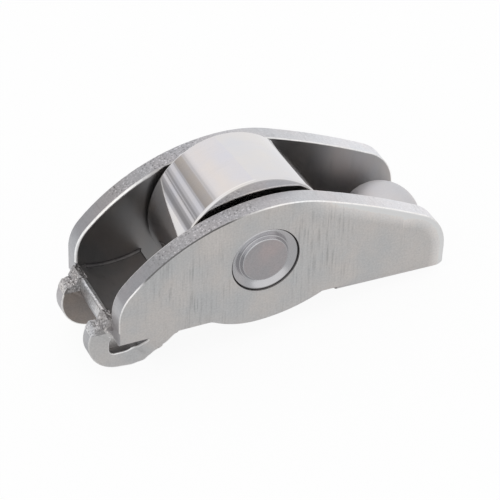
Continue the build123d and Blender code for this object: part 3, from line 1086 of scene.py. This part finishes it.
@dataclass
class Studio:
    """A pale floor, soft lamps, a bright surround and the camera.

    Attributes:
        target: Point of the frame that the camera looks at, in millimetres.
        azimuth: Turn of the camera round the object, in degrees.
        elevation: Height of the camera above the horizon, in degrees.
        roll: Turn of the camera about its own axis, in degrees.
        distance: Distance of the camera.
        lens: Focal length.
        sensor: Width of the sensor.
        floor_glow: Share of plain white in the floor where it is seen.
        floor_dim: How much darker than white the floor in front shows in the metal.
        floor_fade: Where that starts to fade and where it is gone, along y in metres.
        card_distance: Radius of the striped card about the roller's axis.
        card_columns: Steps round that axis.
        card_foot: Least height of the card over the floor, in metres.
        card_reach: Where the card starts and ends along the axis, as shares of its radius.
        card_bands: The card's bands, as pairs of the turn from upright in degrees and brightness.
        card_warmth: How warm the card's colour is, by the same turn.
    """

    target: Colour = (1.291, 2.559, 3.429)
    azimuth: float = 20.389
    elevation: float = 39.723
    roll: float = -6.401
    distance: float = 283.51
    lens: float = 177.2
    sensor: float = 36.0
    floor_glow: float = 0.92
    floor_dim: float = 0.40
    floor_fade: tuple[float, float] = (-0.004, 0.006)
    card_distance: float = 500.0
    card_columns: int = 48
    card_foot: float = 0.0005
    card_reach: tuple[float, float] = (0.35, 2.6)
    card_bands: Stops = ((-98.0, 0.75), (-90.0, 0.72), (-87.0, 0.62), (-85.0, 0.34), (-79.5, 0.34),
                         (-78.0, 0.44), (-74.6, 0.48), (-73.6, 0.80), (-69.6, 0.80), (-68.8, 0.38),
                         (-67.2, 0.40), (-66.6, 0.60), (-65.2, 0.60), (-64.6, 0.38), (-61.8, 0.42),
                         (-60.8, 0.60), (-57.4, 0.62), (-56.0, 0.84), (-50.4, 0.82), (-49.2, 0.54),
                         (-47.2, 0.62), (-46.2, 0.42), (-43.4, 0.46), (-38.0, 0.52), (-31.6, 0.58),
                         (-30.6, 0.76), (-28.6, 0.66), (-25.6, 0.90), (-20.0, 1.0), (30.0, 1.0))
    card_warmth: Stops = ((-100.0, 0.2), (-48.0, 0.2), (-45.0, 0.95), (-33.0, 0.95), (-30.0, 0.45),
                          (-8.0, 0.55), (10.0, 0.25), (30.0, 0.2))

    def camera(self) -> None:
        """Place the camera at the photograph's viewing angle."""
        data = bpy.data.cameras.new("view")
        data.lens = self.lens
        data.sensor_width = self.sensor
        data.clip_start = 0.01
        turn = (Euler((math.radians(90.0 - self.elevation), 0.0, -math.radians(self.azimuth))).to_matrix()
                @ Matrix.Rotation(math.radians(self.roll), 3, "Z"))
        camera = linked("view", data)
        camera.matrix_world = Matrix.Translation(
            Vector(self.target) * MM + turn @ Vector((0.0, 0.0, self.distance * MM))) @ turn.to_4x4()
        bpy.context.scene.camera = camera

    def floor(self) -> bpy.types.Object:
        """Lay the pale floor, which keeps the object's shadow."""
        shape = bmesh.new()
        bmesh.ops.create_grid(shape, x_segments=1, y_segments=1, size=2.0)
        floor = mesh_object("floor", shape)
        shader = Shader("pale_floor")
        rays = shader.add("LightPath").outputs
        mirrored = shader.math("MAXIMUM", rays["Is Glossy Ray"], rays["Is Transmission Ray"])
        seen = shader.math("MAXIMUM", rays["Is Camera Ray"], mirrored)
        matt = shader.add("BsdfDiffuse", {"Color": (0.86, 0.86, 0.86, 1.0)})
        along = shader.add("SeparateXYZ", {0: shader.add("TexCoord").outputs["Object"]}).outputs["Y"]
        front = shader.ramp(along, tuple(zip(self.floor_fade, (1.0, 0.0))))
        dimmed = shader.math("MULTIPLY", rays["Is Glossy Ray"], front)
        shine = shader.math("MULTIPLY_ADD", dimmed, -self.floor_dim, 1.0)
        glow = shader.add("Emission", {"Color": WHITE, "Strength": shine})
        mixed = shader.add("MixShader", {0: shader.math("MULTIPLY", seen, self.floor_glow),
                                         1: matt.outputs[0], 2: glow.outputs[0]})
        shader.add("OutputMaterial", {"Surface": mixed.outputs[0]})
        floor.data.materials.append(shader.material)
        return floor

    def card(self, datum: Datum) -> bpy.types.Object:
        """Stand up the striped card whose bands show in the roller's side.

        Args:
            datum: Place of the roller.

        Returns:
            The card, seen by reflections alone.
        """
        shape = bmesh.new()
        centre, radius = datum.centre, self.card_distance * MM
        first, last = self.card_bands[0][0], self.card_bands[-1][0]
        columns = []
        for step in range(self.card_columns + 1):
            turn = math.radians(first + (last - first) * step / self.card_columns)
            across = centre.x + radius * math.sin(turn)
            height = max(centre.z + radius * math.cos(turn), self.card_foot)
            columns.append([shape.verts.new((across, radius * share, height)) for share in self.card_reach])
        for here, there in zip(columns, columns[1:]):
            shape.faces.new((here[0], there[0], there[1], here[1]))
        card = mesh_object("striped_card", shape)
        shader = Shader("card_bands")
        place = shader.add("SeparateXYZ", {0: shader.add("TexCoord").outputs["Object"]}).outputs
        turn = shader.math("DEGREES", shader.math("ARCTAN2", shader.math("SUBTRACT", place["X"], centre.x),
                                                  shader.math("SUBTRACT", place["Z"], centre.z)))
        tint = shader.add("Mix", {"Factor": shader.ramp(turn, self.card_warmth),
                                  "A": (0.95, 0.97, 1.04, 1.0), "B": (1.04, 0.97, 0.90, 1.0)},
                          data_type="RGBA", clamp_result=False)
        glow = shader.add("Emission", {"Color": tint.outputs["Result"],
                                       "Strength": shader.ramp(turn, self.card_bands)})
        shader.add("OutputMaterial", {"Surface": glow.outputs[0]})
        card.data.materials.append(shader.material)
        card.visible_camera = False
        card.visible_diffuse = False
        card.visible_shadow = False
        card.visible_transmission = False
        return card

    def surround(self) -> None:
        """Give the world an even white light."""
        world = bpy.data.worlds.new("surround")
        bpy.context.scene.world = world
        world.use_nodes = True
        world.node_tree.nodes.clear()
        nodes = NodeTree(world.node_tree)
        light = nodes.add("Background", {"Color": WHITE, "Strength": 1.0})
        nodes.add("OutputWorld", {"Surface": light.outputs[0]})

    def lamp(self, name: str, place: Colour, size: float, power: float) -> None:
        """Hang a square soft lamp that looks at the object.

        Args:
            name: Name of the lamp.
            place: Place in metres.
            size: Side of the lamp in metres.
            power: Power in watts.
        """
        data = bpy.data.lights.new(name, "AREA")
        data.shape = "SQUARE"
        data.size = size
        data.energy = power
        lamp = linked(name, data)
        lamp.location = place
        lamp.rotation_euler = Vector(place).to_track_quat("Z", "Y").to_euler()

    def build(self, datum: Datum) -> list[bpy.types.Object]:
        """Set up camera, surround and lamps, and return the floor and the card."""
        self.camera()
        self.surround()
        self.lamp("overhead", (0.0, 0.15, 0.7), 0.7, 0.25)
        self.lamp("front_fill", (-0.3, -0.6, 0.45), 0.5, 0.1)
        return [self.floor(), self.card(datum)]


def main() -> None:
    """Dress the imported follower, piece by piece, and report each."""
    logging.basicConfig(level=logging.INFO, format="%(name)s: %(message)s")
    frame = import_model()
    bpy.context.scene.view_settings.view_transform = "Standard"
    datum = Datum.from_record(frame["record"])

    arm = PressedArm(datum).build(frame["nodes"]["arm"])
    pin = StakedPin(datum).build()
    roller = CamRoller(datum).build()
    needles = NeedleRow(datum).build()
    needle_nodes = sorted(name for name in frame["nodes"] if name.startswith("needle_"))
    for piece, body, slot, nodes in ((arm, Body.ROCKER, Slot.SHEET, ["arm"]),
                                     (pin, Body.ROCKER, Slot.PIN, ["axle_pin"]),
                                     (roller, Body.ROLLER, Slot.ROLLER, ["roller"]),
                                     (needles, Body.NEEDLES, Slot.NEEDLE, needle_nodes)):
        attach(piece, body.value)
        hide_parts(*nodes)
        LOG.info("%s rides on %s, %d faces", piece.name, body.value, len(piece.data.polygons))
    Studio().build(datum)


if __name__ == "__main__":
    main()
